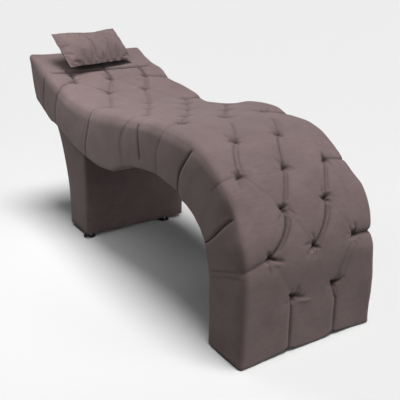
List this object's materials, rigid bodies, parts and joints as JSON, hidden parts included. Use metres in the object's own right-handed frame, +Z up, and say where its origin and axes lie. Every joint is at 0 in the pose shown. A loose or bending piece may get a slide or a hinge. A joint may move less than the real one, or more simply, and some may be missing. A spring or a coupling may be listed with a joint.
{
  "type": "wave treatment couch",
  "caption": "Button-tufted velour treatment couch with a wave-shaped body that curves down into its own front leg, a box pedestal on levelling feet and a loose head pillow.",
  "frame": {"origin": "on the floor, under the middle of the couch's length and width", "axes": "+X along the couch to the foot end, +Y to the left of a person who lies with the head at -X and looks to +X, +Z up"},
  "size_m": [1.85, 0.624, 0.9507],
  "materials": {
    "velour": "short-pile velour, taupe",
    "foam": "upholstery foam",
    "plywood": "raw plywood",
    "black_plastic": "glossy black",
    "zinc_steel": "zinc plated",
    "twine": "waxed nylon twine",
    "anchor_plastic": "natural nylon"
  },
  "bodies": {
    "couch": {"tufted_cover": "velour", "underside_cover": "velour", "top_foam": "foam", "side_foam_near": "foam", "side_foam_far": "foam", "head_foam": "foam", "tuft_buttons": "velour", "button_twines": "twine", "twine_anchors": "anchor_plastic", "deck": "plywood", "underside_board": "plywood", "outer_rib_near": "plywood", "outer_rib_far": "plywood", "inner_rib_near": "plywood", "inner_rib_far": "plywood", "cross_rails": "plywood", "rail_screws": "zinc_steel", "head_board": "plywood", "foot_rail": "plywood", "leg_glides": "black_plastic", "mounting_blocks": "plywood", "mounting_bolts": "zinc_steel", "bolt_washers": "zinc_steel", "bolt_nuts": "zinc_steel", "pedestal_side_near": "plywood", "pedestal_side_far": "plywood", "pedestal_front_board": "plywood", "pedestal_rear_board": "plywood", "pedestal_base_board": "plywood", "pedestal_top_board": "plywood", "pedestal_corner_posts": "plywood", "pedestal_cover_near": "velour", "pedestal_cover_far": "velour", "pedestal_cover_front": "velour", "pedestal_cover_rear": "velour", "foot_inserts": "zinc_steel"},
    "foot_1_pad": {"foot_pad_1": "black_plastic"},
    "foot_1_stem": {"foot_stem_1": "zinc_steel"},
    "foot_2_pad": {"foot_pad_2": "black_plastic"},
    "foot_2_stem": {"foot_stem_2": "zinc_steel"},
    "foot_3_pad": {"foot_pad_3": "black_plastic"},
    "foot_3_stem": {"foot_stem_3": "zinc_steel"},
    "foot_4_pad": {"foot_pad_4": "black_plastic"},
    "foot_4_stem": {"foot_stem_4": "zinc_steel"},
    "pillow": {"pillow": "velour"}
  },
  "joints": [
    {"name": "foot_1_height", "type": "slide", "parent": "couch", "child": "foot_1_pad", "axis": [0, 0, -1], "range_m": [0, 0.01]},
    {"name": "foot_1_turn", "type": "hinge", "parent": "foot_1_pad", "child": "foot_1_stem", "pos_m": [-0.404, -0.262, 0.02], "axis": [0, 0, -1], "range_deg": [0, 2880]},
    {"name": "foot_2_height", "type": "slide", "parent": "couch", "child": "foot_2_pad", "axis": [0, 0, -1], "range_m": [0, 0.01]},
    {"name": "foot_2_turn", "type": "hinge", "parent": "foot_2_pad", "child": "foot_2_stem", "pos_m": [-0.404, 0.17, 0.02], "axis": [0, 0, -1], "range_deg": [0, 2880]},
    {"name": "foot_3_height", "type": "slide", "parent": "couch", "child": "foot_3_pad", "axis": [0, 0, -1], "range_m": [0, 0.01]},
    {"name": "foot_3_turn", "type": "hinge", "parent": "foot_3_pad", "child": "foot_3_stem", "pos_m": [-0.566, -0.17, 0.02], "axis": [0, 0, -1], "range_deg": [0, 2880]},
    {"name": "foot_4_height", "type": "slide", "parent": "couch", "child": "foot_4_pad", "axis": [0, 0, -1], "range_m": [0, 0.01]},
    {"name": "foot_4_turn", "type": "hinge", "parent": "foot_4_pad", "child": "foot_4_stem", "pos_m": [-0.566, 0.262, 0.02], "axis": [0, 0, -1], "range_deg": [0, 2880]},
    {"name": "pillow_lift", "type": "slide", "parent": "couch", "child": "pillow", "axis": [0, 0, 1], "range_m": [0, 0.25]}
  ],
  "couplings": [
    {"joint": "foot_1_turn", "follows": "foot_1_height", "rad_per_m": 5026.5},
    {"joint": "foot_2_turn", "follows": "foot_2_height", "rad_per_m": 5026.5},
    {"joint": "foot_3_turn", "follows": "foot_3_height", "rad_per_m": 5026.5},
    {"joint": "foot_4_turn", "follows": "foot_4_height", "rad_per_m": 5026.5}
  ]
}
